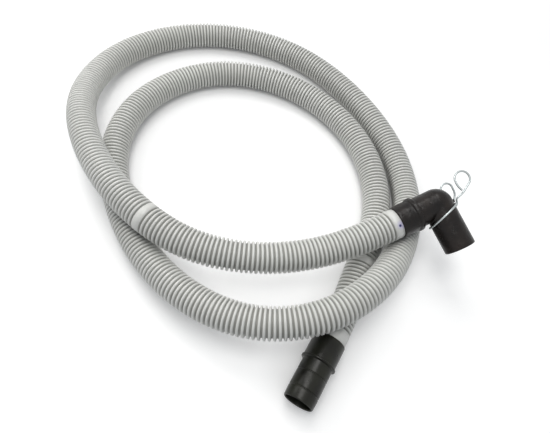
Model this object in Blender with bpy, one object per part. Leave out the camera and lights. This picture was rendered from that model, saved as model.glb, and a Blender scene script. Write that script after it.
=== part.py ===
"""Coiled drain hose with an elbow connector, a straight cuff and a spring wire clamp.

Metres, +Z up. The hose lies on the floor in two turns, and the cuff's axis runs along -Y.
"""

import math

import bmesh
import bpy
import numpy as np
from mathutils import Matrix, Vector

# Hose
HOSE_DIAMETER = 0.027
HOSE_NECK_DIAMETER = 0.0244
HOSE_RINGS = 74
HOSE_SIDES_LEVEL = 4

# Fit between the hose and its connectors
CLEARANCE = 0.0003
SOCKET_DEPTH = 0.0165
SPIGOT_BORE = 0.021

# Elbow: the inlet takes the hose, the leg points away from it
INLET_DIAMETER = 0.0286
INLET_LENGTH = 0.040
FLANGE_DIAMETER = 0.0308
FLANGE_WIDTH = 0.0033
FLANGE_FROM_MOUTH = 0.0155
LEG_DIAMETER = 0.0267
LEG_LENGTH = 0.0437
BEND_RADIUS = 0.0016
BEND_DIAMETER = 0.027
BEND_OVERLAP = 0.001
BEND_SWELL = 0.0001
ELBOW_HEADING = math.radians(55.7)
ELBOW_RISE = math.radians(14.2)
LEG_DROOP = math.radians(18.2)
LUG_LENGTH = 0.0031
LUG_WIDTH = 0.004
LUG_HEIGHT = 0.0032
LUG_TAPER = 0.0009
LUG_FROM_CORNER = 0.0045

# Straight cuff
CUFF_LENGTH = 0.0555
CUFF_COLLAR_DIAMETER = 0.0276
CUFF_COLLAR_LENGTH = 0.0216
CUFF_LIP_DIAMETER = 0.0296
CUFF_LIP_WIDTH = 0.0014
CUFF_BODY_DIAMETER = 0.0254
CUFF_END_DIAMETER = 0.0248
CUFF_BORE = 0.022
CUFF_GROOVE_DEPTH = 0.0005
CUFF_GROOVE_WIDTH = 0.0012
CUFF_GROOVES_FROM_MOUTH = (0.032, 0.0455)

# Spring wire clamp on the elbow's leg
WIRE_DIAMETER = 0.0018
CLAMP_FROM_CORNER = 0.0116
CLAMP_TILT = math.radians(15.9)
CLAMP_SWAY = math.radians(5.2)
CLAMP_TURN_PITCH = 0.0023
NEAR_EYE_RADIUS = 0.0071
FAR_EYE_RADIUS = 0.0053
NEAR_EYE_CENTER = Vector((0.0305, 0.0029, -0.0092))
FAR_EYE_CENTER = Vector((0.0187, -0.0082, -0.0071))
NEAR_EYE_TURN = (20.0, 272.0)
FAR_EYE_TURN = (-15.0, -285.0)
EYE_DRIFT = 0.0012
EYE_STEPS = 9
FAR_STEM = [
    Vector((0.0236, -0.0078, -0.0018)), Vector((0.0222, -0.0083, 0.0018)),
    Vector((0.0196, -0.0088, 0.0046)), Vector((0.0172, -0.0086, 0.0062)),
    Vector((0.0152, -0.0073, 0.0073)), Vector((0.0143, -0.0052, 0.0078)),
]
NEAR_STEM = [
    Vector((0.0149, -0.0032, 0.0102)), Vector((0.0168, -0.0018, 0.0091)),
    Vector((0.0179, -0.0010, 0.0070)), Vector((0.0184, -0.0004, 0.0049)),
    Vector((0.0216, 0.0012, 0.0031)), Vector((0.0268, 0.0019, 0.0012)),
]
NEAR_TAIL = [Vector((0.0239, 0.0038, -0.0032)), Vector((0.0250, 0.0041, -0.0003))]
RING_START = -12.0
RING_END = 340.0
RING_STEPS = 24
WIRE_POINTS = 120
WIRE_SIDES_LEVEL = 2

# Shared modelling values
RIM_ROUNDING = 0.0006
ROUND_SEGMENTS = 48
BEND_STEPS = 10
CUTTER_OVERSHOOT = 0.002
SPLINE_STEPS = 25
MERGE_DISTANCE = 1e-6
SHARP_ANGLE = math.radians(35.0)

# Centre line of the hose, from the elbow's mouth to the cuff's mouth
ROUTE = [
    (0.149, -0.0128, 0.0528), (0.133, -0.036, 0.048), (0.105, -0.069, 0.042),
    (0.061, -0.104, 0.041), (0.007, -0.124, 0.042), (-0.0515, -0.1215, 0.043),
    (-0.1065, -0.102, 0.041), (-0.1555, -0.0685, 0.036), (-0.1915, -0.020, 0.024),
    (-0.2015, 0.033, 0.017), (-0.1855, 0.0875, 0.014), (-0.148, 0.131, 0.014),
    (-0.0965, 0.1575, 0.014), (-0.039, 0.1655, 0.014), (0.0185, 0.1545, 0.014),
    (0.073, 0.129, 0.014), (0.118, 0.093, 0.014), (0.1505, 0.0445, 0.017),
    (0.164, -0.0145, 0.028), (0.1555, -0.0775, 0.041), (0.1305, -0.120, 0.042),
    (0.084, -0.151, 0.036), (0.029, -0.157, 0.028), (-0.0275, -0.142, 0.018),
    (-0.0795, -0.1115, 0.014), (-0.1205, -0.067, 0.016), (-0.1375, -0.0135, 0.016),
    (-0.129, 0.0415, 0.014), (-0.096, 0.0865, 0.014), (-0.0435, 0.1115, 0.014),
    (0.0145, 0.113, 0.014), (0.070, 0.0915, 0.014), (0.112, 0.0515, 0.014),
    (0.135, -0.0005, 0.014), (0.142, -0.054, 0.014), (0.146, -0.090, 0.014),
    (0.1472, -0.1228, 0.0148),
]

ELBOW_MOUTH = Vector(ROUTE[0])
CUFF_MOUTH = Vector(ROUTE[-1])
CUFF_AXIS = Vector((0.0, -1.0, 0.0))


def elbow_frame():
    """Elbow axes as a matrix at its corner: X along the inlet, Z down the leg, Y across."""
    inlet = Vector((
        math.cos(ELBOW_RISE) * math.cos(ELBOW_HEADING),
        math.cos(ELBOW_RISE) * math.sin(ELBOW_HEADING),
        math.sin(ELBOW_RISE),
    ))
    side = inlet.cross(Vector((0.0, 0.0, 1.0))).normalized()
    down = inlet.cross(side)
    leg = side * math.cos(LEG_DROOP) + down * math.sin(LEG_DROOP)
    across = leg.cross(inlet)
    frame = Matrix((inlet, across, leg)).transposed().to_4x4()
    frame.translation = ELBOW_MOUTH + inlet * INLET_LENGTH
    return frame


def cuff_frame():
    """Cuff axes as a matrix at its mouth: Z along the cuff, away from the hose."""
    across = Vector((1.0, 0.0, 0.0))
    frame = Matrix((across, CUFF_AXIS.cross(across), CUFF_AXIS)).transposed().to_4x4()
    frame.translation = CUFF_MOUTH
    return frame


def material(name, color, roughness, metallic=0.0):
    mat = bpy.data.materials.new(name)
    mat.use_nodes = True
    shader = mat.node_tree.nodes["Principled BSDF"]
    shader.inputs["Base Color"].default_value = (*color, 1.0)
    shader.inputs["Roughness"].default_value = roughness
    shader.inputs["Metallic"].default_value = metallic
    return mat


def add_object(name, data, frame=None):
    obj = bpy.data.objects.new(name, data)
    bpy.context.scene.collection.objects.link(obj)
    if frame is not None:
        obj.matrix_world = frame
    return obj


def smooth_route(points, count):
    """Points evenly spaced along the natural cubic spline through the given points."""
    knots = np.array([tuple(p) for p in points])
    gaps = np.linalg.norm(np.diff(knots, axis=0), axis=1)
    last = len(knots) - 1
    system = np.eye(last + 1)
    right = np.zeros_like(knots)
    for i in range(1, last):
        system[i, i - 1:i + 2] = gaps[i - 1], 2.0 * (gaps[i - 1] + gaps[i]), gaps[i]
        rise_after = (knots[i + 1] - knots[i]) / gaps[i]
        rise_before = (knots[i] - knots[i - 1]) / gaps[i - 1]
        right[i] = 6.0 * (rise_after - rise_before)
    bend = np.linalg.solve(system, right)
    fine = []
    for i, gap in enumerate(gaps):
        for t in np.linspace(0.0, 1.0, SPLINE_STEPS, endpoint=False):
            ahead, behind = t, 1.0 - t
            curve = (ahead ** 3 - ahead) * bend[i + 1] + (behind ** 3 - behind) * bend[i]
            fine.append(behind * knots[i] + ahead * knots[i + 1] + curve * gap * gap / 6.0)
    fine.append(knots[-1])
    fine = np.array(fine)
    run = np.concatenate([[0.0], np.cumsum(np.linalg.norm(np.diff(fine, axis=0), axis=1))])
    wanted = np.linspace(0.0, run[-1], count)
    return [Vector([np.interp(w, run, fine[:, k]) for k in range(3)]) for w in wanted]


def tube(name, points, radii, sides_level, mat):
    """Round tube with closed ends, one radius for each point."""
    curve = bpy.data.curves.new(name, "CURVE")
    curve.dimensions = "3D"
    curve.bevel_depth = max(radii)
    curve.bevel_resolution = sides_level
    curve.use_fill_caps = True
    spline = curve.splines.new("POLY")
    spline.points.add(len(points) - 1)
    for knot, place, radius in zip(spline.points, points, radii):
        knot.co = (*place, 1.0)
        knot.radius = radius / curve.bevel_depth
    obj = add_object(name, curve)
    curve.materials.append(mat)
    return obj


def build_hose(mat):
    """Hose body, with a narrower neck inside each connector's socket."""
    inlet = elbow_frame().col[0].to_3d()
    neck = SOCKET_DEPTH - CLEARANCE
    shoulder = 2.0 * CLEARANCE
    start = ELBOW_MOUTH - inlet * shoulder
    end = CUFF_MOUTH - CUFF_AXIS * shoulder
    body = smooth_route([start] + ROUTE[1:-1] + [end], HOSE_RINGS)
    points = [ELBOW_MOUTH + inlet * neck, ELBOW_MOUTH - inlet * CLEARANCE]
    points += body
    points += [CUFF_MOUTH - CUFF_AXIS * CLEARANCE, CUFF_MOUTH + CUFF_AXIS * neck]
    necks = [HOSE_NECK_DIAMETER / 2.0] * 2
    radii = necks + [HOSE_DIAMETER / 2.0] * len(body) + necks
    return tube("hose", points, radii, HOSE_SIDES_LEVEL, mat)


def turned(name, profile, frame):
    """Solid turned about the frame's Z axis from a closed outline of (radius, height)."""
    mesh = bpy.data.meshes.new(name)
    bm = bmesh.new()
    ring = [bm.verts.new((radius, 0.0, height)) for radius, height in profile]
    pairs = list(zip(ring, ring[1:] + ring[:1]))
    edges = [bm.edges.new(pair) for pair in pairs if pair[0].co.x + pair[1].co.x > 0.0]
    bmesh.ops.spin(
        bm, geom=ring + edges, cent=(0.0, 0.0, 0.0), axis=(0.0, 0.0, 1.0),
        angle=2.0 * math.pi, steps=ROUND_SEGMENTS, use_merge=True,
    )
    bmesh.ops.remove_doubles(bm, verts=bm.verts, dist=MERGE_DISTANCE)
    bmesh.ops.dissolve_degenerate(bm, dist=MERGE_DISTANCE, edges=bm.edges)
    bmesh.ops.recalc_face_normals(bm, faces=bm.faces)
    bm.to_mesh(mesh)
    bm.free()
    mesh.shade_smooth()
    mesh.set_sharp_from_angle(angle=SHARP_ANGLE)
    return add_object(name, mesh, frame)


def bend_solid(name, radius, frame):
    """Quarter bend between the inlet and the leg, cut off at its own turning axis."""
    mesh = bpy.data.meshes.new(name)
    bm = bmesh.new()
    sections = []
    for step in range(BEND_STEPS + 1):
        turn = math.pi / 2.0 * step / BEND_STEPS
        section = []
        for corner in range(ROUND_SEGMENTS):
            angle = 2.0 * math.pi * corner / ROUND_SEGMENTS
            reach = max(BEND_RADIUS + radius * math.cos(angle), 0.0)
            section.append(bm.verts.new((
                -BEND_RADIUS + reach * math.sin(turn),
                radius * math.sin(angle),
                BEND_RADIUS - reach * math.cos(turn),
            )))
        sections.append(section)
    for before, after in zip(sections, sections[1:]):
        for corner in range(ROUND_SEGMENTS):
            nxt = (corner + 1) % ROUND_SEGMENTS
            bm.faces.new((before[corner], before[nxt], after[nxt], after[corner]))
    bm.faces.new(sections[0])
    bm.faces.new(sections[-1])
    bmesh.ops.remove_doubles(bm, verts=bm.verts, dist=MERGE_DISTANCE)
    bmesh.ops.dissolve_degenerate(bm, dist=MERGE_DISTANCE, edges=bm.edges)
    bmesh.ops.recalc_face_normals(bm, faces=bm.faces)
    bm.to_mesh(mesh)
    bm.free()
    return add_object(name, mesh, frame)


def hide_cutter(obj):
    obj.hide_render = True
    obj.display_type = "WIRE"


def boolean(target, tool, operation):
    hide_cutter(tool)
    step = target.modifiers.new(tool.name, "BOOLEAN")
    step.operation = operation
    step.object = tool


def inlet_profile():
    """Outline of the inlet from its mouth to the start of the bend, solid to the axis."""
    radius = INLET_DIAMETER / 2.0
    bead = FLANGE_DIAMETER / 2.0
    pipe = BEND_DIAMETER / 2.0 - BEND_SWELL
    bead_start = FLANGE_FROM_MOUTH
    bead_end = FLANGE_FROM_MOUTH + FLANGE_WIDTH
    ease = RIM_ROUNDING
    end = INLET_LENGTH - BEND_RADIUS + BEND_OVERLAP
    return [
        (0.0, 0.0), (radius - ease, 0.0), (radius, ease),
        (radius, bead_start - ease), (bead, bead_start), (bead, bead_end),
        (pipe, bead_end + ease), (pipe, end), (0.0, end),
    ]


def leg_profile():
    """Outline of the leg from the end of the bend to its mouth, solid to the axis."""
    radius = LEG_DIAMETER / 2.0
    start = BEND_RADIUS - BEND_OVERLAP
    return [
        (0.0, start), (radius, start), (radius, LEG_LENGTH - RIM_ROUNDING),
        (radius - RIM_ROUNDING, LEG_LENGTH), (0.0, LEG_LENGTH),
    ]


def build_elbow(mat):
    corner = elbow_frame()
    bore = SPIGOT_BORE / 2.0
    socket = HOSE_NECK_DIAMETER / 2.0 + CLEARANCE
    turn_to_inlet = Matrix.Rotation(math.pi / 2.0, 4, "Y")
    mouth = corner @ Matrix.Translation((-INLET_LENGTH, 0.0, 0.0)) @ turn_to_inlet
    elbow = turned("elbow", inlet_profile(), mouth)
    elbow.data.materials.append(mat)
    bend = bend_solid("bend_outside", BEND_DIAMETER / 2.0, corner)
    leg = turned("leg_outside", leg_profile(), corner)
    boolean(elbow, bend, "UNION")
    boolean(elbow, leg, "UNION")
    boolean(elbow, locating_lug(corner), "UNION")
    inlet_bore = turned("inlet_bore", [
        (0.0, -CUTTER_OVERSHOOT), (socket, -CUTTER_OVERSHOOT), (socket, SOCKET_DEPTH),
        (bore, SOCKET_DEPTH), (bore, INLET_LENGTH - BEND_RADIUS + BEND_OVERLAP),
        (0.0, INLET_LENGTH - BEND_RADIUS + BEND_OVERLAP),
    ], mouth)
    leg_bore = turned("leg_bore", [
        (0.0, BEND_RADIUS - BEND_OVERLAP), (bore, BEND_RADIUS - BEND_OVERLAP),
        (bore, LEG_LENGTH + CUTTER_OVERSHOOT), (0.0, LEG_LENGTH + CUTTER_OVERSHOOT),
    ], corner)
    boolean(elbow, bend_solid("bend_bore", bore + BEND_SWELL, corner), "DIFFERENCE")
    boolean(elbow, inlet_bore, "DIFFERENCE")
    boolean(elbow, leg_bore, "DIFFERENCE")
    return elbow


def locating_lug(corner):
    """Small hooked tab on the outer side of the leg that keeps the clamp from sliding up."""
    mesh = bpy.data.meshes.new("lug")
    bm = bmesh.new()
    bmesh.ops.create_cube(bm, size=1.0)
    bmesh.ops.scale(bm, vec=(2.0 * LUG_HEIGHT, LUG_WIDTH, LUG_LENGTH), verts=bm.verts)
    clamp_side = [v for v in bm.verts if v.co.x > 0.0 and v.co.z > 0.0]
    bmesh.ops.translate(bm, vec=(-LUG_TAPER, 0.0, 0.0), verts=clamp_side)
    bm.to_mesh(mesh)
    bm.free()
    place = Matrix.Translation((LEG_DIAMETER / 2.0, 0.0, LUG_FROM_CORNER))
    return add_object("lug", mesh, corner @ place)


def cuff_profile():
    """Closed wall outline of the cuff, from the hose mouth to the open end."""
    collar = CUFF_COLLAR_DIAMETER / 2.0
    lip = CUFF_LIP_DIAMETER / 2.0
    body = CUFF_BODY_DIAMETER / 2.0
    end = CUFF_END_DIAMETER / 2.0
    lip_start = CUFF_COLLAR_LENGTH - CUFF_LIP_WIDTH
    socket = HOSE_NECK_DIAMETER / 2.0 + CLEARANCE
    bore = CUFF_BORE / 2.0
    ease = RIM_ROUNDING
    outline = [
        (socket, 0.0), (collar - ease, 0.0), (collar, ease), (collar, lip_start),
        (lip, lip_start + ease / 2.0), (lip, CUFF_COLLAR_LENGTH),
        (body, CUFF_COLLAR_LENGTH + ease),
    ]
    for groove in CUFF_GROOVES_FROM_MOUTH:
        outline += [
            (body, groove), (body - CUFF_GROOVE_DEPTH, groove + CUFF_GROOVE_WIDTH / 4.0),
            (body - CUFF_GROOVE_DEPTH, groove + 3.0 * CUFF_GROOVE_WIDTH / 4.0),
            (body, groove + CUFF_GROOVE_WIDTH),
        ]
    taper = CUFF_GROOVES_FROM_MOUTH[-1] + 2.0 * CUFF_GROOVE_WIDTH
    outline += [
        (body, taper), (end, CUFF_LENGTH - ease), (end - ease, CUFF_LENGTH),
        (bore, CUFF_LENGTH), (bore, SOCKET_DEPTH), (socket, SOCKET_DEPTH),
    ]
    return outline


def build_cuff(mat):
    cuff = turned("cuff", cuff_profile(), cuff_frame())
    cuff.data.materials.append(mat)
    return cuff


def clamp_route():
    """Wire of the clamp in the elbow's frame: far eye, one turn round the leg, near eye."""
    round_leg = LEG_DIAMETER / 2.0 + CLEARANCE + WIRE_DIAMETER / 2.0
    lean = math.tan(CLAMP_TILT) * round_leg
    sway = math.tan(CLAMP_SWAY) * round_leg
    ring = []
    for step in range(RING_STEPS + 1):
        degrees = RING_START + (RING_END - RING_START) * step / RING_STEPS
        angle = math.radians(degrees)
        height = CLAMP_FROM_CORNER + CLAMP_TURN_PITCH * step / RING_STEPS
        ring.append(Vector((
            round_leg * math.cos(angle), round_leg * math.sin(angle),
            height - lean * math.cos(angle) - sway * math.sin(angle),
        )))
    far_eye = eye(FAR_EYE_CENTER, FAR_EYE_RADIUS, FAR_EYE_TURN)
    near_eye = eye(NEAR_EYE_CENTER, NEAR_EYE_RADIUS, NEAR_EYE_TURN)
    return far_eye + FAR_STEM + ring + NEAR_STEM + near_eye + NEAR_TAIL


def eye(center, radius, turn):
    """Open loop in the elbow's plane, which drifts sideways so that its ends stay clear."""
    start, end = turn
    points = []
    for step in range(EYE_STEPS + 1):
        angle = math.radians(start + (end - start) * step / EYE_STEPS)
        drift = EYE_DRIFT * (step / EYE_STEPS - 0.5)
        points.append(center + Vector((radius * math.sin(angle), drift, radius * math.cos(angle))))
    return points


def build_clamp(mat):
    corner = elbow_frame()
    points = smooth_route(clamp_route(), WIRE_POINTS)
    radii = [WIRE_DIAMETER / 2.0] * len(points)
    clamp = tube("clamp", points, radii, WIRE_SIDES_LEVEL, mat)
    clamp.matrix_world = corner
    return clamp


def main():
    for obj in list(bpy.data.objects):
        bpy.data.objects.remove(obj, do_unlink=True)
    plastic = material("grey_plastic", (0.50, 0.50, 0.48), 0.42)
    rubber = material("black_rubber", (0.018, 0.018, 0.019), 0.55)
    zinc = material("zinc_wire", (0.78, 0.80, 0.84), 0.28, 1.0)
    build_hose(plastic)
    build_elbow(rubber)
    build_cuff(rubber)
    build_clamp(zinc)


main()
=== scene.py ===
# %% [markdown]
# # A coiled drain hose
# This hose carries water out of a washing machine. It is a corrugated plastic tube of about two
# metres, with a rubber elbow and a spring wire clamp on one end and a straight rubber cuff on the
# other. Its solids are loaded first. They say where each piece lies, and every finer piece made
# below takes the place of one of them.

# %% Load the part's solids
import math

import bpy
import numpy as np
from mathutils import Matrix, Vector


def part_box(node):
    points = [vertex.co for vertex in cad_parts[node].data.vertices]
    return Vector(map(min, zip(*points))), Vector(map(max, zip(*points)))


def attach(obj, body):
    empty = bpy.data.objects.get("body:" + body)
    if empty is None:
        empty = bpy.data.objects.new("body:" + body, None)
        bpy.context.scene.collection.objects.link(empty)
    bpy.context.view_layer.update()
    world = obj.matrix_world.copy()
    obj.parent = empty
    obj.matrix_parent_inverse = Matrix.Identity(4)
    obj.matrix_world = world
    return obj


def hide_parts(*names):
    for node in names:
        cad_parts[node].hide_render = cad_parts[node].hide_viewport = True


MM = 0.001

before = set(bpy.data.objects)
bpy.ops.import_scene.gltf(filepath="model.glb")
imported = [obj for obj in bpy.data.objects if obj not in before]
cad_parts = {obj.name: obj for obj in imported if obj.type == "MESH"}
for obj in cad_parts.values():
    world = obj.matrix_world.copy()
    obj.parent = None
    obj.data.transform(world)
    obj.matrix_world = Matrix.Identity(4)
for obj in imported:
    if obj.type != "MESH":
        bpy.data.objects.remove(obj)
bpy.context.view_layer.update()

# %% [markdown]
# ## The camera
# The hose was photographed from close by with a wide lens, which makes its near turns look thicker
# than its far ones. A camera is fixed by where it stands, the spot on the floor that it looks at,
# how far it is tipped about its own line of sight, and its lens. Aiming it at a spot is easier to
# read, and to change, than three turning angles.

# %% Camera
CAMERA_PLACE = Vector((0.1184, -0.2506, 0.3694))
CAMERA_TARGET = Vector((0.0470, -0.0370, 0.0))
CAMERA_ROLL = math.radians(13.63)
CAMERA_LENS = 28.72
NEAREST_SEEN = 0.01


def aim(place, target, roll=0.0):
    """Turning angles of a camera or lamp at a place that looks at a target."""
    look = (target - place).to_track_quat("-Z", "Y").to_matrix()
    return (look @ Matrix.Rotation(roll, 3, "Z")).to_euler()


bpy.ops.object.camera_add(
    location=CAMERA_PLACE, rotation=aim(CAMERA_PLACE, CAMERA_TARGET, CAMERA_ROLL))
camera = bpy.context.object
camera.data.lens = CAMERA_LENS
camera.data.clip_start = NEAREST_SEEN
bpy.context.scene.camera = camera
sight = (CAMERA_PLACE - CAMERA_TARGET).normalized()
print("camera looks down", round(math.degrees(math.asin(sight.z)), 1), "degrees")

# %% [markdown]
# ## The hose's centre line
# A hose that lies loose has no straight runs and no true arcs. Its centre line is a smooth curve
# through a few dozen points, from the elbow's mouth round two turns to the cuff's mouth. They were
# fitted to the hose's edges in the photograph and then rounded. The hose rests on the floor or on
# the turn below it. A natural cubic spline through the points bends as evenly as a springy tube
# does, so it is worked out here and read at any distance along.

# %% Centre line
ROUTE = [
    (0.149, -0.0128, 0.0528), (0.133, -0.036, 0.048), (0.105, -0.069, 0.042),
    (0.061, -0.104, 0.041), (0.007, -0.124, 0.042), (-0.0515, -0.1215, 0.043),
    (-0.1065, -0.102, 0.041), (-0.1555, -0.0685, 0.036), (-0.1915, -0.020, 0.024),
    (-0.2015, 0.033, 0.017), (-0.1855, 0.0875, 0.014), (-0.148, 0.131, 0.014),
    (-0.0965, 0.1575, 0.014), (-0.039, 0.1655, 0.014), (0.0185, 0.1545, 0.014),
    (0.073, 0.129, 0.014), (0.118, 0.093, 0.014), (0.1505, 0.0445, 0.017),
    (0.164, -0.0145, 0.028), (0.1555, -0.0775, 0.041), (0.1305, -0.120, 0.042),
    (0.084, -0.151, 0.036), (0.029, -0.157, 0.028), (-0.0275, -0.142, 0.018),
    (-0.0795, -0.1115, 0.014), (-0.1205, -0.067, 0.016), (-0.1375, -0.0135, 0.016),
    (-0.129, 0.0415, 0.014), (-0.096, 0.0865, 0.014), (-0.0435, 0.1115, 0.014),
    (0.0145, 0.113, 0.014), (0.070, 0.0915, 0.014), (0.112, 0.0515, 0.014),
    (0.135, -0.0005, 0.014), (0.142, -0.054, 0.014), (0.146, -0.090, 0.014),
    (0.1472, -0.1228, 0.0148),
]
SPLINE_STEPS = 25


def spline_through(points):
    """Dense points on the natural cubic spline through some points, and how far along each lies."""
    knots = np.array([tuple(p) for p in points])
    gaps = np.linalg.norm(np.diff(knots, axis=0), axis=1)
    last = len(knots) - 1
    system = np.eye(last + 1)
    right = np.zeros_like(knots)
    for i in range(1, last):
        system[i, i - 1:i + 2] = gaps[i - 1], 2.0 * (gaps[i - 1] + gaps[i]), gaps[i]
        rise_after = (knots[i + 1] - knots[i]) / gaps[i]
        rise_before = (knots[i] - knots[i - 1]) / gaps[i - 1]
        right[i] = 6.0 * (rise_after - rise_before)
    bend = np.linalg.solve(system, right)
    fine = []
    for i, gap in enumerate(gaps):
        for t in np.linspace(0.0, 1.0, SPLINE_STEPS, endpoint=False):
            ahead, behind = t, 1.0 - t
            curve = (ahead ** 3 - ahead) * bend[i + 1] + (behind ** 3 - behind) * bend[i]
            fine.append(behind * knots[i] + ahead * knots[i + 1] + curve * gap * gap / 6.0)
    fine = np.array(fine + [knots[-1]])
    run = np.concatenate([[0.0], np.cumsum(np.linalg.norm(np.diff(fine, axis=0), axis=1))])
    return fine, run


def read_at(values, run, wanted):
    """Rows of values, known at the distances in run, read at the wanted distances."""
    return np.column_stack([np.interp(wanted, run, values[:, k]) for k in range(3)])


centre, centre_run = spline_through(ROUTE)
HOSE_LENGTH = float(centre_run[-1])
print("hose, mouth to mouth:", round(HOSE_LENGTH, 3), "m")

# %% [markdown]
# ## Where the two rubber pieces sit
# The elbow is drawn about its own corner: its inlet runs in along X, and its leg leaves along Z.
# The cuff is drawn from its mouth along Z. One matrix for each then carries the finished mesh to
# its place. Drawing a turned piece about a plain axis keeps every size in it easy to read.

# %% Places of the elbow and the cuff
ELBOW_HEADING = math.radians(55.7)
ELBOW_RISE = math.radians(14.2)
LEG_DROOP = math.radians(18.2)
INLET_LENGTH = 0.040

inlet_axis = Vector((
    math.cos(ELBOW_RISE) * math.cos(ELBOW_HEADING),
    math.cos(ELBOW_RISE) * math.sin(ELBOW_HEADING),
    math.sin(ELBOW_RISE),
))
level_side = inlet_axis.cross(Vector((0.0, 0.0, 1.0))).normalized()
leg_axis = level_side * math.cos(LEG_DROOP) + inlet_axis.cross(level_side) * math.sin(LEG_DROOP)
elbow_place = Matrix((inlet_axis, leg_axis.cross(inlet_axis), leg_axis)).transposed().to_4x4()
elbow_place.translation = Vector(ROUTE[0]) + inlet_axis * INLET_LENGTH

CUFF_AXIS = Vector((0.0, -1.0, 0.0))
cuff_side = Vector((1.0, 0.0, 0.0))
cuff_place = Matrix((cuff_side, CUFF_AXIS.cross(cuff_side), CUFF_AXIS)).transposed().to_4x4()
cuff_place.translation = Vector(ROUTE[-1])
print("elbow corner:", tuple(round(v, 4) for v in elbow_place.translation))

# %% [markdown]
# ## The corrugated hose
# The real hose is blown in a mould, so its wall is one skin with hundreds of round ridges. They
# let it bend without kinking. A bevelled curve can't carry ridges, and a displaced one would need
# far more faces, so the wall is built ring by ring. Each ridge has six rings: two in the valley
# before it, a shoulder on each side, and two on its crest. Each ring is given by its share of the
# way along the ridge and its height on it. Plain bands, where a hose can be cut and pushed on to a
# spigot, and plain ends break the ridges. The wall turns inwards at both ends and runs back as a
# smooth bore, which closes the mesh.

# %% Rings of the hose's wall
HOSE_DIAMETER = 0.027
HOSE_BORE = 0.0206
VALLEY_DEPTH = 0.0023
NECK_DIAMETER = 0.0244
NECK_LENGTH = 0.0162
NECK_GAP = 0.0003
RIDGE_PITCH = 0.00377
VALLEY_SHARE = 0.44
RIDGE_SHAPE = [
    (0.05, 0.0), (0.36, 0.0), (VALLEY_SHARE, 0.7), (0.54, 1.0), (0.87, 1.0), (0.98, 0.7),
]
VALLEY_RINGS = 3
RIDGE_UNEVENNESS = 0.00004
PLAIN_BAND = 0.0070
BAND_PLACES = (0.2276, HOSE_LENGTH - 0.0790)
PLAIN_END_AT_ELBOW = 0.0085
PLAIN_END_AT_CUFF = 0.0105
PLAIN_END_HEIGHT = 0.9
SEED = 7

crest = HOSE_DIAMETER / 2.0
neck = NECK_DIAMETER / 2.0
rng = np.random.default_rng(SEED)


def wall_ring(along, height, uneven=0.0):
    """A ring as (distance along, radius, height on the ridge from 0 to 1)."""
    return along, crest - VALLEY_DEPTH * (1.0 - height) + uneven * height, height


def ridged(start, end):
    """Rings of the ridges between two plain places, with a valley at each end."""
    count = round((end - start) / RIDGE_PITCH - VALLEY_SHARE)
    pitch = (end - start) / (count + VALLEY_SHARE)
    made = [wall_ring(start, RIDGE_SHAPE[-1][1])]
    for ridge in range(count):
        uneven = rng.normal(0.0, RIDGE_UNEVENNESS)
        for share, height in RIDGE_SHAPE:
            made.append(wall_ring(start + (ridge + share) * pitch, height, uneven))
    for share, height in RIDGE_SHAPE[:VALLEY_RINGS]:
        made.append(wall_ring(start + (count + share) * pitch, height))
    return made


stretches = [PLAIN_END_AT_ELBOW]
for place in BAND_PLACES:
    stretches += [place - PLAIN_BAND / 2.0, place + PLAIN_BAND / 2.0]
stretches.append(HOSE_LENGTH - PLAIN_END_AT_CUFF)

rings = [
    (-NECK_LENGTH, neck, 1.0), (-NECK_GAP, neck, 1.0), wall_ring(NECK_GAP, PLAIN_END_HEIGHT),
]
for start, end in zip(stretches[0::2], stretches[1::2]):
    rings.append(wall_ring(start - NECK_GAP, 1.0))
    rings += ridged(start, end)
    rings.append(wall_ring(end + NECK_GAP, 1.0))
rings += [
    wall_ring(HOSE_LENGTH - NECK_GAP, PLAIN_END_HEIGHT),
    (HOSE_LENGTH + NECK_GAP, neck, 1.0), (HOSE_LENGTH + NECK_LENGTH, neck, 1.0),
]
print("rings on the outside:", len(rings))

# %% [markdown]
# ## From rings to a wall
# Each ring is a circle across the centre line. If each circle chose its own sideways direction,
# the faces between two circles would twist. So one direction is carried from ring to ring and only
# straightened against the line as it turns. The rings are then joined into four-sided faces, all
# the way round and back through the bore.

# %% Mesh of the hose
HOSE_SIDES = 28
BORE_RINGS = 150


def carried_sides(tangents):
    """A sideways direction for each tangent, carried along with no twist."""
    side = np.cross(tangents[0], (0.0, 0.0, 1.0))
    sides = []
    for tangent in tangents:
        side = side - tangent * side.dot(tangent)
        side = side / np.linalg.norm(side)
        sides.append(side)
    return np.array(sides)


full_line = np.array(
    [tuple(Vector(ROUTE[0]) + inlet_axis * NECK_LENGTH)] + list(centre)
    + [tuple(Vector(ROUTE[-1]) + CUFF_AXIS * NECK_LENGTH)])
full_run = np.concatenate([[-NECK_LENGTH], centre_run, [HOSE_LENGTH + NECK_LENGTH]])
line_tangents = np.gradient(full_line, axis=0)
line_tangents /= np.linalg.norm(line_tangents, axis=1)[:, None]
line_sides = carried_sides(line_tangents)

bore_places = np.linspace(HOSE_LENGTH + NECK_LENGTH, -NECK_LENGTH, BORE_RINGS)
all_rings = np.array(rings + [(along, HOSE_BORE / 2.0, 0.0) for along in bore_places])
middles = read_at(full_line, full_run, all_rings[:, 0])
tangents = read_at(line_tangents, full_run, all_rings[:, 0])
tangents /= np.linalg.norm(tangents, axis=1)[:, None]
sides = read_at(line_sides, full_run, all_rings[:, 0])
sides -= tangents * np.sum(sides * tangents, axis=1)[:, None]
sides /= np.linalg.norm(sides, axis=1)[:, None]
ups = np.cross(tangents, sides)

angles = np.linspace(0.0, 2.0 * math.pi, HOSE_SIDES, endpoint=False)
circle = (
    sides[:, None] * np.cos(angles)[None, :, None] + ups[:, None] * np.sin(angles)[None, :, None])
points = middles[:, None] + circle * all_rings[:, 1][:, None, None]

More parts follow.
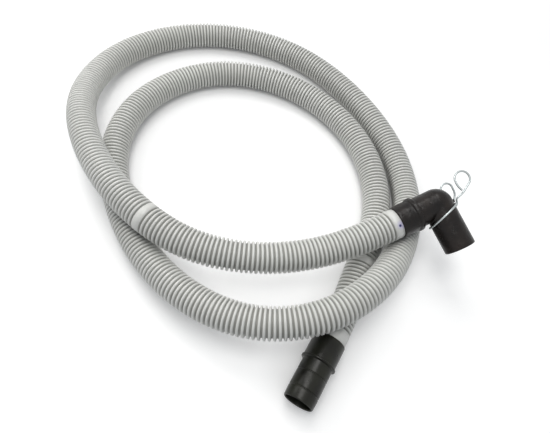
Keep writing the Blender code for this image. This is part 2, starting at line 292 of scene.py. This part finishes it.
ring_count = len(all_rings)
here = np.arange(ring_count * HOSE_SIDES).reshape(ring_count, HOSE_SIDES)
beside = np.roll(here, -1, axis=1)
quads = np.stack([here, beside, np.roll(beside, -1, axis=0), np.roll(here, -1, axis=0)], axis=2)
hose_mesh = bpy.data.meshes.new("corrugated_hose")
hose_mesh.from_pydata(points.reshape(-1, 3).tolist(), [], quads.reshape(-1, 4).tolist())
hose_mesh.shade_smooth()
hose = bpy.data.objects.new("corrugated_hose", hose_mesh)
bpy.context.scene.collection.objects.link(hose)
print("hose faces:", len(hose_mesh.polygons))

# %% [markdown]
# ## What the hose's finish needs to know
# A material can't tell a crest from a valley by itself, so each point of the mesh carries its
# height on the ridge. The value rides with the mesh however the hose is bent, which a pattern
# fixed in space would not.

# %% Ridge height on the hose's points
def write_on_points(mesh, name, values):
    """Gives each point of a mesh a number, which a material can read by its name."""
    layer = mesh.attributes.new(name, "FLOAT", "POINT")
    layer.data.foreach_set("value", values.astype(np.float32))


ridge_height = np.repeat(all_rings[:, 2], HOSE_SIDES)
write_on_points(hose_mesh, "ridge", ridge_height)
print("points on a crest:", int((ridge_height == 1.0).sum()))

# %% [markdown]
# ## Where the turns lie close
# Where one turn lies on another, shade is painted into the plastic's colour, so it is darker
# there. Each point carries how close it lies to another turn's wall: 1 where they touch, and 0 from
# a few millimetres away. A point's own stretch of hose is always near it, so it doesn't count.

# %% Closeness to another turn on the hose's points
CLOSE_REACH = 0.006
OWN_STRETCH = 0.15

closeness = np.zeros((ring_count, HOSE_SIDES))
for ring, along in enumerate(all_rings[:, 0]):
    near = np.linalg.norm(centre - middles[ring], axis=1) < HOSE_DIAMETER + CLOSE_REACH
    other_turns = centre[near & (abs(centre_run - along) > OWN_STRETCH)]
    if len(other_turns):
        to_line = np.linalg.norm(points[ring][:, None] - other_turns, axis=2).min(axis=1)
        closeness[ring] = np.clip(1.0 - (to_line - crest) / CLOSE_REACH, 0.0, 1.0)
write_on_points(hose_mesh, "closeness", closeness.ravel())
print("points near another turn:", int((closeness > 0.0).sum()))

# %% [markdown]
# ## Helpers for modelling as by hand
# The rubber pieces are turned shapes, like a glass on a lathe. By hand one would add a circle,
# extrude it along its axis, and scale each new ring to the wall's radius there. These helpers do
# just that. Everything is deselected first, because an operator acts on all that is selected.

# %% Modelling helpers
TURNED_SIDES = 96
DRAWN_AXIS = Vector((0.0, 0.0, 1.0))


def deselect():
    """Leaves edit mode, with nothing selected."""
    if bpy.context.mode != "OBJECT":
        bpy.ops.object.mode_set(mode="OBJECT")
    bpy.ops.object.select_all(action="DESELECT")


def draw_out(outline):
    """Extrudes the selected ring through (radius, height) pairs. It starts at the first one."""
    for (old_radius, old_height), (radius, height) in zip(outline, outline[1:]):
        bpy.ops.mesh.extrude_region_move(
            TRANSFORM_OT_translate={"value": DRAWN_AXIS * (height - old_height)})
        bpy.ops.transform.resize(
            value=(radius / old_radius,) * 3, center_override=DRAWN_AXIS * height)


def face_outwards():
    """Turns all faces outwards, and leaves edit mode."""
    bpy.ops.mesh.select_all(action="SELECT")
    bpy.ops.mesh.normals_make_consistent(inside=False)
    bpy.ops.object.mode_set(mode="OBJECT")


def turned_bar(name, outline):
    """Solid bar about Z through (radius, height) pairs, closed by a flat face at each end."""
    deselect()
    radius, height = outline[0]
    bpy.ops.mesh.primitive_circle_add(
        vertices=TURNED_SIDES, radius=radius, fill_type="NGON", location=(0.0, 0.0, height))
    piece = bpy.context.object
    piece.name = name
    bpy.ops.object.transform_apply(location=True)
    bpy.ops.object.mode_set(mode="EDIT")
    bpy.ops.mesh.select_all(action="SELECT")
    draw_out(outline)
    face_outwards()
    return piece


def put(piece, place):
    """Carries the mesh of a piece to its place, and leaves its object at the origin."""
    piece.data.transform(place)
    piece.data.update()
    return piece


def apply_modifier(piece, kind, **settings):
    """Adds a modifier with its settings to a piece, and applies it."""
    deselect()
    bpy.context.view_layer.objects.active = piece
    piece.select_set(True)
    modifier = piece.modifiers.new(kind.lower(), kind)
    for setting, value in settings.items():
        setattr(modifier, setting, value)
    bpy.ops.object.modifier_apply(modifier=modifier.name)


def combine(piece, tool, operation):
    """Joins a tool to a piece, or cuts it out, and deletes the tool."""
    apply_modifier(piece, "BOOLEAN", object=tool, operation=operation)
    bpy.data.objects.remove(tool)


print("turned pieces have", TURNED_SIDES, "sides")

# %% [markdown]
# ## The elbow's outside
# The elbow is one rubber moulding: a collar that takes the hose, a bead, a pipe, a very tight
# bend, and a leg. The two straight parts are turned bars. The bend is tighter than the pipe is
# thick, so a plain spin would run through itself at the inner corner. Its round section is
# therefore cut off at the turning axis before it is spun, which leaves the sharp inner crease that
# the real elbow shows.

# %% Outside of the elbow
INLET_DIAMETER = 0.0286
FLANGE_DIAMETER = 0.0308
FLANGE_WIDTH = 0.0033
FLANGE_FROM_MOUTH = 0.0155
BEND_RADIUS = 0.0016
BEND_DIAMETER = 0.027
LEG_DIAMETER = 0.0267
LEG_LENGTH = 0.0437
RIM_EASE = 0.0006
OVERLAP = 0.001
SWELL = 0.0001
BEND_STEPS = 16
WELD_REACH = 1e-6
QUARTER_TURN = math.pi / 2.0

inlet_turn = Matrix.Translation((-INLET_LENGTH, 0.0, 0.0)) @ Matrix.Rotation(QUARTER_TURN, 4, "Y")


def bend_piece(name, radius):
    """Quarter bend from the inlet's axis to the leg's, cut off at its turning axis."""
    deselect()
    bpy.ops.mesh.primitive_circle_add(
        vertices=TURNED_SIDES, radius=radius, fill_type="NGON",
        location=(-BEND_RADIUS, 0.0, 0.0), rotation=(0.0, QUARTER_TURN, 0.0))
    piece = bpy.context.object
    piece.name = name
    bpy.ops.object.transform_apply(location=True, rotation=True)
    bpy.ops.object.mode_set(mode="EDIT")
    bpy.ops.mesh.select_all(action="SELECT")
    bpy.ops.mesh.bisect(
        plane_co=(0.0, 0.0, BEND_RADIUS), plane_no=(0.0, 0.0, 1.0), clear_outer=True)
    bpy.ops.mesh.select_all(action="SELECT")
    bpy.ops.mesh.spin(
        steps=BEND_STEPS, angle=QUARTER_TURN, center=(-BEND_RADIUS, 0.0, BEND_RADIUS),
        axis=(0.0, 1.0, 0.0))
    bpy.ops.mesh.select_all(action="SELECT")
    bpy.ops.mesh.remove_doubles(threshold=WELD_REACH)
    bpy.ops.mesh.dissolve_degenerate(threshold=WELD_REACH)
    face_outwards()
    return piece


inlet = INLET_DIAMETER / 2.0
bead = FLANGE_DIAMETER / 2.0
pipe = BEND_DIAMETER / 2.0 - SWELL
leg = LEG_DIAMETER / 2.0
bead_end = FLANGE_FROM_MOUTH + FLANGE_WIDTH
inlet_end = INLET_LENGTH - BEND_RADIUS

elbow = turned_bar("elbow_moulding", [
    (inlet - RIM_EASE, 0.0), (inlet, RIM_EASE), (inlet, FLANGE_FROM_MOUTH - RIM_EASE),
    (bead, FLANGE_FROM_MOUTH), (bead, bead_end), (pipe, bead_end + RIM_EASE),
    (pipe, inlet_end + OVERLAP),
])
put(elbow, inlet_turn)
combine(elbow, bend_piece("bend", BEND_DIAMETER / 2.0), "UNION")
combine(elbow, turned_bar("leg", [
    (leg, BEND_RADIUS - OVERLAP), (leg, LEG_LENGTH - RIM_EASE), (leg - RIM_EASE, LEG_LENGTH),
]), "UNION")
print("elbow outside, in mm:", [round(v / MM, 1) for v in elbow.dimensions])

# %% [markdown]
# ## The tab for the clamp
# A small moulded tab stands on the leg close to the corner, and keeps the clamp from riding up
# into the bend. It is a block half sunk in the leg. Its outer edge on the clamp's side is pushed
# in, which gives it a slope, and its corners are rounded before it joins the elbow.

# %% Clamp tab
TAB_SIZE = Vector((0.0064, 0.0040, 0.0031))
TAB_TAPER = 0.0009
TAB_FROM_CORNER = 0.0045
TAB_ROUNDING = 0.0004

deselect()
bpy.ops.mesh.primitive_cube_add(size=1.0, location=(leg, 0.0, TAB_FROM_CORNER))
tab = bpy.context.object
bpy.ops.transform.resize(value=TAB_SIZE)
bpy.ops.object.transform_apply(location=True, scale=True)
for vertex in tab.data.vertices:
    vertex.select = vertex.co.x > leg and vertex.co.z > TAB_FROM_CORNER
bpy.ops.object.mode_set(mode="EDIT")
bpy.ops.transform.translate(value=(-TAB_TAPER, 0.0, 0.0))
bpy.ops.object.mode_set(mode="OBJECT")
apply_modifier(tab, "BEVEL", width=TAB_ROUNDING, segments=2)
combine(elbow, tab, "UNION")
print("tab, in mm:", [round(v / MM, 1) for v in TAB_SIZE])

# %% [markdown]
# ## The elbow's inside, and its moulded skin
# The bores are cut with bars of the same kind: a socket that grips the hose's neck, then the water
# way round the bend. Rubber has no knife-sharp corners where its parts meet, so the finished
# shape is remeshed into fine even faces and lightly smoothed. That rounds every inner corner a
# little, as the mould does, where a bevel would stumble over the crease.

# %% Bores and moulded skin
SPIGOT_BORE = 0.021
SOCKET_DEPTH = 0.0165
CLEARANCE = 0.0003
CUT_PAST = 0.002
SKIN_VOXEL = 0.00045
SKIN_SMOOTHING = 4

bore = SPIGOT_BORE / 2.0
socket = neck + CLEARANCE

combine(elbow, bend_piece("bend_bore", bore + SWELL), "DIFFERENCE")
combine(elbow, put(turned_bar("inlet_bore", [
    (socket, -CUT_PAST), (socket, SOCKET_DEPTH), (bore, SOCKET_DEPTH), (bore, inlet_end + OVERLAP),
]), inlet_turn), "DIFFERENCE")
combine(elbow, turned_bar("leg_bore", [
    (bore, BEND_RADIUS - OVERLAP), (bore, LEG_LENGTH + CUT_PAST),
]), "DIFFERENCE")
apply_modifier(elbow, "REMESH", mode="VOXEL", voxel_size=SKIN_VOXEL)
apply_modifier(elbow, "SMOOTH", factor=0.5, iterations=SKIN_SMOOTHING)
put(elbow, elbow_place)
elbow.data.shade_smooth()
print("elbow faces:", len(elbow.data.polygons))

# %% [markdown]
# ## The straight cuff
# The cuff is a sleeve: a collar over the hose, a thin lip where the mould's halves end, a body
# with two shallow grooves that mark how far to push it on, and a slightly drawn-in end. One ring
# is drawn out along the outside, turned in at the end and drawn back up the bore. Bridging the
# last ring to the first closes the wall, and a small bevel softens every turned edge.

# %% Cuff
CUFF_LENGTH = 0.0555
COLLAR_DIAMETER = 0.0276
COLLAR_LENGTH = 0.0216
LIP_DIAMETER = 0.0296
LIP_WIDTH = 0.0014
BODY_DIAMETER = 0.0254
END_DIAMETER = 0.0248
CUFF_BORE = 0.022
GROOVE_DEPTH = 0.0005
GROOVE_WIDTH = 0.0012
GROOVE_SLOPE = 0.0003
GROOVES_FROM_MOUTH = (0.032, 0.0455)
TAPER_FROM_MOUTH = 0.0479
END_FUNNEL = 0.0008
CUFF_ROUNDING = 0.00022
ROUNDED_FROM = math.radians(20.0)

collar = COLLAR_DIAMETER / 2.0
lip = LIP_DIAMETER / 2.0
body = BODY_DIAMETER / 2.0
tip = END_DIAMETER / 2.0
cuff_bore = CUFF_BORE / 2.0
cuff_outline = [
    (socket, 0.0), (collar - RIM_EASE, 0.0), (collar, RIM_EASE),
    (collar, COLLAR_LENGTH - LIP_WIDTH), (lip, COLLAR_LENGTH - LIP_WIDTH + RIM_EASE / 2.0),
    (lip, COLLAR_LENGTH), (body, COLLAR_LENGTH + RIM_EASE),
]
for groove in GROOVES_FROM_MOUTH:
    cuff_outline += [
        (body, groove), (body - GROOVE_DEPTH, groove + GROOVE_SLOPE),
        (body - GROOVE_DEPTH, groove + GROOVE_WIDTH - GROOVE_SLOPE), (body, groove + GROOVE_WIDTH),
    ]
cuff_outline += [
    (body, TAPER_FROM_MOUTH), (tip, CUFF_LENGTH - RIM_EASE), (tip - RIM_EASE, CUFF_LENGTH),
    (cuff_bore + END_FUNNEL / 2.0, CUFF_LENGTH), (cuff_bore, CUFF_LENGTH - END_FUNNEL),
    (cuff_bore, SOCKET_DEPTH), (socket, SOCKET_DEPTH),
]

deselect()
bpy.ops.mesh.primitive_circle_add(vertices=TURNED_SIDES, radius=cuff_outline[0][0])
cuff = bpy.context.object
cuff.name = "cuff_moulding"
bpy.ops.object.mode_set(mode="EDIT")
bpy.ops.mesh.select_mode(type="EDGE")
bpy.ops.mesh.select_all(action="SELECT")
draw_out(cuff_outline)
bpy.ops.mesh.select_all(action="DESELECT")
bpy.ops.mesh.select_non_manifold()
bpy.ops.mesh.bridge_edge_loops()
face_outwards()
apply_modifier(cuff, "BEVEL", width=CUFF_ROUNDING, segments=3, limit_method="ANGLE",
               angle_limit=ROUNDED_FROM)
put(cuff, cuff_place)
cuff.data.shade_smooth()
print("cuff faces:", len(cuff.data.polygons))

# %% [markdown]
# ## The spring wire clamp
# The clamp is one length of bright wire: an eye to squeeze, a stem, one long turn round the
# elbow's leg, a stem and a second eye. Pinching the eyes together opens the turn. A wire bends as
# smoothly as a cord, so it is made like one, as a curve through a few waypoints with a round
# section, and then turned into a mesh. Each eye is given by its centre, its radius and the two
# angles in degrees that it runs between. The long turn has two such angles too.

# %% Clamp
WIRE_DIAMETER = 0.0018
CLAMP_FROM_CORNER = 0.0116
CLAMP_TILT = math.radians(15.9)
CLAMP_SWAY = math.radians(5.2)
TURN_PITCH = 0.0023
NEAR_EYE = (Vector((0.0305, 0.0029, -0.0092)), 0.0071, (20.0, 272.0))
FAR_EYE = (Vector((0.0187, -0.0082, -0.0071)), 0.0053, (-15.0, -285.0))
FAR_STEM = [
    (0.0236, -0.0078, -0.0018), (0.0222, -0.0083, 0.0018), (0.0196, -0.0088, 0.0046),
    (0.0172, -0.0086, 0.0062), (0.0152, -0.0073, 0.0073), (0.0143, -0.0052, 0.0078),
]
NEAR_STEM = [
    (0.0149, -0.0032, 0.0102), (0.0168, -0.0018, 0.0091), (0.0179, -0.0010, 0.0070),
    (0.0184, -0.0004, 0.0049), (0.0216, 0.0012, 0.0031), (0.0268, 0.0019, 0.0012),
]
NEAR_TAIL = [(0.0239, 0.0038, -0.0032), (0.0250, 0.0041, -0.0003)]
EYE_DRIFT = 0.0012
EYE_STEPS = 9
LONG_TURN = (-12.0, 340.0)
LONG_TURN_STEPS = 24
WIRE_POINTS = 420
WIRE_ROUNDNESS = 4


def shares_and_angles(turn, steps):
    """Share of the way round and angle, in even steps from the start of a turn to its end."""
    start, end = turn
    return [(step / steps, math.radians(start + (end - start) * step / steps))
            for step in range(steps + 1)]


def eye(middle, radius, turn):
    """Open loop across the elbow, which drifts sideways so that its ends pass each other."""
    made = []
    for share, angle in shares_and_angles(turn, EYE_STEPS):
        drift = EYE_DRIFT * (share - 0.5)
        made.append(middle + Vector((radius * math.sin(angle), drift, radius * math.cos(angle))))
    return made


round_leg = leg + CLEARANCE + WIRE_DIAMETER / 2.0
lean = math.tan(CLAMP_TILT) * round_leg
sway = math.tan(CLAMP_SWAY) * round_leg
long_turn = []
for share, angle in shares_and_angles(LONG_TURN, LONG_TURN_STEPS):
    height = CLAMP_FROM_CORNER + TURN_PITCH * share
    long_turn.append((round_leg * math.cos(angle), round_leg * math.sin(angle),
                      height - lean * math.cos(angle) - sway * math.sin(angle)))
wire_line, wire_run = spline_through(
    eye(*FAR_EYE) + FAR_STEM + long_turn + NEAR_STEM + eye(*NEAR_EYE) + NEAR_TAIL)
wire_points = read_at(wire_line, wire_run, np.linspace(0.0, wire_run[-1], WIRE_POINTS))

wire = bpy.data.curves.new("clamp_wire", "CURVE")
wire.dimensions = "3D"
wire.bevel_depth = WIRE_DIAMETER / 2.0
wire.bevel_resolution = WIRE_ROUNDNESS
wire.use_fill_caps = True
spline = wire.splines.new("POLY")
spline.points.add(WIRE_POINTS - 1)
for knot, point in zip(spline.points, wire_points):
    knot.co = (*point, 1.0)
deselect()
clamp = bpy.data.objects.new("clamp_wire", wire)
bpy.context.scene.collection.objects.link(clamp)
bpy.context.view_layer.objects.active = clamp
clamp.select_set(True)
bpy.ops.object.convert(target="MESH")
clamp = bpy.context.object
put(clamp, elbow_place)
clamp.data.shade_smooth()
print("wire length:", round(float(wire_run[-1]), 3), "m")

# %% [markdown]
# ## Helpers for materials
# Every finish here is a Principled shader with a few nodes in front of it. The helpers add a node
# with its settings and link it in one line, so that each material reads as a list of decisions.
# The Mix node has sockets for every kind of data, and those for colours are found by number.

# %% Material helpers
MIX_FIRST, MIX_SECOND, MIX_RESULT = 6, 7, 2
NOISE_SPREAD = (0.3, 0.7)


class Finish:
    """A material with its Principled shader, and short ways to add nodes before it."""

    def __init__(self, name, **sockets):
        self.material = bpy.data.materials.new(name)
        self.material.use_nodes = True
        self.tree = self.material.node_tree
        self.shader = self.tree.nodes["Principled BSDF"]
        for socket_name, value in sockets.items():
            self.shader.inputs[socket_name.replace("_", " ")].default_value = value
        self.place = self.node("ShaderNodeTexCoord").outputs["Object"]

    def node(self, kind, **settings):
        made = self.tree.nodes.new(kind)
        for setting, value in settings.items():
            setattr(made, setting, value)
        return made

    def link(self, source, target):
        self.tree.links.new(source, target)

    def noise(self, scale, detail=2.0):
        made = self.node("ShaderNodeTexNoise")
        made.inputs["Scale"].default_value = scale
        made.inputs["Detail"].default_value = detail
        self.link(self.place, made.inputs["Vector"])
        return made.outputs["Fac"]

    def attribute(self, name):
        return self.node("ShaderNodeAttribute", attribute_name=name).outputs["Fac"]

    def ranged(self, value, low, high, to_low=0.0, to_high=1.0):
        """Value that goes from to_low to to_high while another goes from low to high."""
        made = self.node("ShaderNodeMapRange")
        for socket_name, number in (
                ("From Min", low), ("From Max", high), ("To Min", to_low), ("To Max", to_high)):
            made.inputs[socket_name].default_value = number
        self.link(value, made.inputs["Value"])
        return made.outputs["Result"]

    def product(self, first, second):
        made = self.node("ShaderNodeMath", operation="MULTIPLY")
        self.link(first, made.inputs[0])
        self.link(second, made.inputs[1])
        return made.outputs["Value"]

    def dimmed(self, colour, factor):
        made = self.node("ShaderNodeVectorMath", operation="SCALE")
        self.link(colour, made.inputs[0])
        self.link(factor, made.inputs["Scale"])
        return made.outputs["Vector"]

    def mixed(self, share, first, second):
        """Colour that goes from first to second. Each is a colour or another node's output."""
        made = self.node("ShaderNodeMix", data_type="RGBA")
        self.link(share, made.inputs["Factor"])
        for number, value in ((MIX_FIRST, first), (MIX_SECOND, second)):
            if isinstance(value, tuple):
                made.inputs[number].default_value = (*value, 1.0)
            else:
                self.link(value, made.inputs[number])
        return made.outputs[MIX_RESULT]

    def uneven_roughness(self, low, high, scale, detail=2.0):
        """Roughness that wanders between two values in patches about 1 / scale metres wide."""
        wander = self.ranged(self.noise(scale, detail), *NOISE_SPREAD, low, high)
        self.link(wander, self.shader.inputs["Roughness"])

    def bump(self, height, distance):
        made = self.node("ShaderNodeBump")
        made.inputs["Distance"].default_value = distance
        self.link(height, made.inputs["Height"])
        self.link(made.outputs["Normal"], self.shader.inputs["Normal"])

    def give(self, piece):
        piece.data.materials.clear()
        piece.data.materials.append(self.material)


print("material helpers ready")

# %% [markdown]
# ## Grey blown plastic
# The hose's plastic is a light, slightly warm grey with a soft sheen. Shade is painted into its
# grey: the valleys and the bore are painted far darker than a free crest, and darker still where
# another turn lies close. The tone wanders a little along the hose. The plain end by the elbow has
# one dot of ink from the factory, in a faint violet stain. Both are spots painted by their distance
# from a point, and each is given by its place before the elbow, its reach and its core.

# %% Hose finish
CREST_GREY = (0.735, 0.735, 0.705)
CREST_GREY_LIGHT = (0.805, 0.805, 0.775)
VALLEY_PAINTED_SHADE = (0.31, 0.31, 0.29)
VALLEY_TO_CREST = (0.1, 0.95)
TONE_SCALE = 14.0
TONE_SPREAD = (0.35, 0.65)
SHADE_AT_TOUCH = 0.04
STAIN_VIOLET = (0.58, 0.56, 0.72)
INK_BLUE = (0.02, 0.02, 0.12)
INK_ANGLE = math.radians(13.0)
INK_SPOT = (0.0027, 0.0014, 0.0009)
STAIN_SPOT = (0.0012, 0.0052, 0.0020)
PLASTIC_ROUGHNESS = (0.28, 0.42)
PLASTIC_SHEEN_SCALE = 300.0
PLASTIC_GRAIN_SCALE = 900.0
PLASTIC_GRAIN = 0.00006

plastic = Finish("grey_blown_plastic", Specular_IOR_Level=0.5)
inked_side = elbow_place.col[1].to_3d() * math.cos(INK_ANGLE) + leg_axis * math.sin(INK_ANGLE)


def near_spot(from_mouth, reach, core):
    """1 inside the core of a spot on the plain end, falling to 0 at its reach."""
    spot = plastic.node("ShaderNodeVectorMath", operation="DISTANCE")
    spot.inputs[1].default_value = Vector(ROUTE[0]) - inlet_axis * from_mouth + inked_side * crest
    plastic.link(plastic.place, spot.inputs[0])
    return plastic.ranged(spot.outputs["Value"], reach, core)


wander = plastic.ranged(plastic.noise(TONE_SCALE), *TONE_SPREAD)
crest_tone = plastic.mixed(wander, CREST_GREY, CREST_GREY_LIGHT)
on_crest = plastic.ranged(plastic.attribute("ridge"), *VALLEY_TO_CREST)
# Painted shade: the valleys and the bore take a much darker grey than the crests.
tone = plastic.mixed(on_crest, VALLEY_PAINTED_SHADE, crest_tone)
# Painted shade: the grey is dimmed where another turn lies close, down to SHADE_AT_TOUCH where they
# touch.
shade = plastic.ranged(plastic.attribute("closeness"), 0.0, 1.0, 1.0, SHADE_AT_TOUCH)
tone = plastic.dimmed(tone, shade)
tone = plastic.mixed(near_spot(*STAIN_SPOT), tone, STAIN_VIOLET)
tone = plastic.mixed(near_spot(*INK_SPOT), tone, INK_BLUE)
plastic.link(tone, plastic.shader.inputs["Base Color"])
plastic.uneven_roughness(*PLASTIC_ROUGHNESS, PLASTIC_SHEEN_SCALE)
plastic.bump(plastic.noise(PLASTIC_GRAIN_SCALE, detail=3.0), PLASTIC_GRAIN)
plastic.give(hose)
print("hose plastic, roughness:", PLASTIC_ROUGHNESS)

# %% [markdown]
# ## Black rubber
# Moulded rubber is never a pure black. It is a dark warm grey with a satin gloss, cloudy where the
# mould release dried and never quite even. Cloudy noise moves both the colour and the roughness,
# and a third noise, about a centimetre across, raises and sinks the skin, which breaks the
# highlights into soft patches.

# %% Rubber finishes
RUBBER_GLOSS = 0.25
CLOUD_SCALE = 70.0
CLOUD_SPREAD = (0.35, 0.7)
RUBBER_SHEEN_SCALE = 160.0
SKIN_SCALE = 110.0


def rubber_finish(name, dark, light, roughness, unevenness):
    """Cloudy black rubber, with its least and greatest roughness and the height of its bumps."""
    made = Finish(name, Specular_IOR_Level=RUBBER_GLOSS)
    clouds = made.ranged(made.noise(CLOUD_SCALE, detail=4.0), *CLOUD_SPREAD)
    made.link(made.mixed(clouds, dark, light), made.shader.inputs["Base Color"])
    made.uneven_roughness(*roughness, RUBBER_SHEEN_SCALE, detail=3.0)
    made.bump(made.noise(SKIN_SCALE, detail=3.0), unevenness)
    return made


rubber_finish("elbow_rubber", dark=(0.003, 0.002, 0.002), light=(0.017, 0.012, 0.010),
              roughness=(0.23, 0.38), unevenness=0.0010).give(elbow)
rubber_finish("cuff_rubber", dark=(0.003, 0.003, 0.002), light=(0.015, 0.016, 0.010),
              roughness=(0.27, 0.42), unevenness=0.0004).give(cuff)
print("rubber finishes:", elbow.active_material.name, cuff.active_material.name)

# %% [markdown]
# ## Zinc-plated wire
# Bright zinc is a cool, slightly blue metal. Drawn wire shines but isn't a mirror, so its
# roughness is middling and wanders a little.

# %% Wire finish
ZINC_GREY = (0.41, 0.44, 0.445, 1.0)
ZINC_ROUGHNESS = (0.34, 0.48)
ZINC_SHEEN_SCALE = 700.0

zinc = Finish("bright_zinc", Metallic=1.0, Base_Color=ZINC_GREY)
zinc.uneven_roughness(*ZINC_ROUGHNESS, ZINC_SHEEN_SCALE, detail=3.0)
zinc.give(clamp)
print("zinc, roughness:", ZINC_ROUGHNESS)

# %% [markdown]
# ## What each piece stands for
# Each fine piece replaces one of the part's solids, which is hidden, and rides on the part's one
# body. Each row also names a material slot, which nothing here reads.

# %% Pieces and the solids they replace
for piece, node, slot in (
        (hose, "hose", "hose"), (elbow, "elbow", "elbow_rubber"),
        (cuff, "cuff", "cuff_rubber"), (clamp, "clamp", "clamp_wire")):
    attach(piece, "root")
    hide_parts(node)
    low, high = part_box(node)
    corners = [Vector(v.co) for v in piece.data.vertices]
    grown = max(max(low[k] - min(c[k] for c in corners), max(c[k] for c in corners) - high[k])
                for k in range(3))
    print(piece.name, "stands proud of its solid's box by", round(grown / MM, 2), "mm")

# %% [markdown]
# ## Floor
# The hose lies on plain white. The floor shows a touch brighter to the camera and to mirrors than
# its own colour, which makes it clean white. Close to the hose, which hides part of the sky from
# the floor, that lift is held back, so the shade where the hose lies on it stays. Far from the
# hose, where the lamps no longer reach, it grows, so the floor is white up to the horizon.

# %% Floor
FLOOR_SIZE = 8.0
FLOOR_DROP = 0.0003
FLOOR_WHITE = (0.80, 0.80, 0.80, 1.0)
PURE_WHITE = (1.0, 1.0, 1.0, 1.0)
PAPER_ROUGHNESS = 0.9
LIFT_NEAR, LIFT_FAR = 0.44, 0.90
LIFT_GROWS = (0.5, 1.6)
SHADE_REACH = 0.03


def seen_rays(tree):
    """1 for rays from the camera or off a glossy surface, and 0 for those that carry light."""
    rays = tree.nodes.new("ShaderNodeLightPath")
    seen = tree.nodes.new("ShaderNodeMath")
    seen.operation = "MAXIMUM"
    tree.links.new(rays.outputs["Is Camera Ray"], seen.inputs[0])
    tree.links.new(rays.outputs["Is Glossy Ray"], seen.inputs[1])
    return seen.outputs["Value"]


deselect()
bpy.ops.mesh.primitive_plane_add(size=FLOOR_SIZE, location=(0.0, 0.0, -FLOOR_DROP))
floor = bpy.context.object
floor.name = "floor"
paper = Finish("white_paper", Roughness=PAPER_ROUGHNESS, Specular_IOR_Level=0.0,
               Base_Color=FLOOR_WHITE, Emission_Color=PURE_WHITE)
from_middle = paper.node("ShaderNodeVectorMath", operation="LENGTH")
paper.link(paper.place, from_middle.inputs[0])
lift = paper.ranged(from_middle.outputs["Value"], *LIFT_GROWS, LIFT_NEAR, LIFT_FAR)
open_sky = paper.node("ShaderNodeAmbientOcclusion")
open_sky.inputs["Distance"].default_value = SHADE_REACH
lift = paper.product(lift, open_sky.outputs["AO"])
paper.link(paper.product(seen_rays(paper.tree), lift), paper.shader.inputs["Emission Strength"])
paper.give(floor)
print("floor lies at", round(-FLOOR_DROP / MM, 2), "mm")

# %% [markdown]
# ## Light
# Three soft lamps do what a small photo table does: one over the near turns, one behind and one
# low at the left, so the shadows fall softly towards the camera and to the right. They are a
# little warm and the dim sky a little blue, which tints the shadows. The camera and mirrors see
# that sky as plain white. Each lamp is given by its place, its size across and its power in watts.

# %% Sky and lamps
SKY_LIGHT = 0.28
SKY_BLUE = (0.90, 0.95, 1.0, 1.0)
LAMP_COLOUR = (1.0, 0.99, 0.97)
LAMPS = [
    ("key_lamp", Vector((0.02, -0.14, 0.85)), 0.35, 2.5),
    ("back_lamp", Vector((-0.42, 0.42, 1.25)), 0.6, 5.0),
    ("side_lamp", Vector((-1.10, 0.30, 0.70)), 0.5, 4.2),
]
LIGHT_TARGET = Vector((0.0, 0.0, 0.0))

world = bpy.data.worlds.new("sky")
bpy.context.scene.world = world
world.use_nodes = True
sky = world.node_tree
seen = seen_rays(sky)
level = sky.nodes.new("ShaderNodeMapRange")
level.inputs["To Min"].default_value = SKY_LIGHT
tint = sky.nodes.new("ShaderNodeMix")
tint.data_type = "RGBA"
tint.inputs[MIX_FIRST].default_value = SKY_BLUE
tint.inputs[MIX_SECOND].default_value = PURE_WHITE
background = sky.nodes["Background"]
sky.links.new(seen, level.inputs["Value"])
sky.links.new(seen, tint.inputs["Factor"])
sky.links.new(level.outputs["Result"], background.inputs["Strength"])
sky.links.new(tint.outputs[MIX_RESULT], background.inputs["Color"])

for name, place, size, power in LAMPS:
    bpy.ops.object.light_add(type="AREA", location=place, rotation=aim(place, LIGHT_TARGET))
    lamp = bpy.context.object
    lamp.name = name
    lamp.data.size = size
    lamp.data.energy = power
    lamp.data.color = LAMP_COLOUR
bpy.context.scene.view_settings.view_transform = "Standard"
print("lamps:", [name for name, place, size, power in LAMPS])
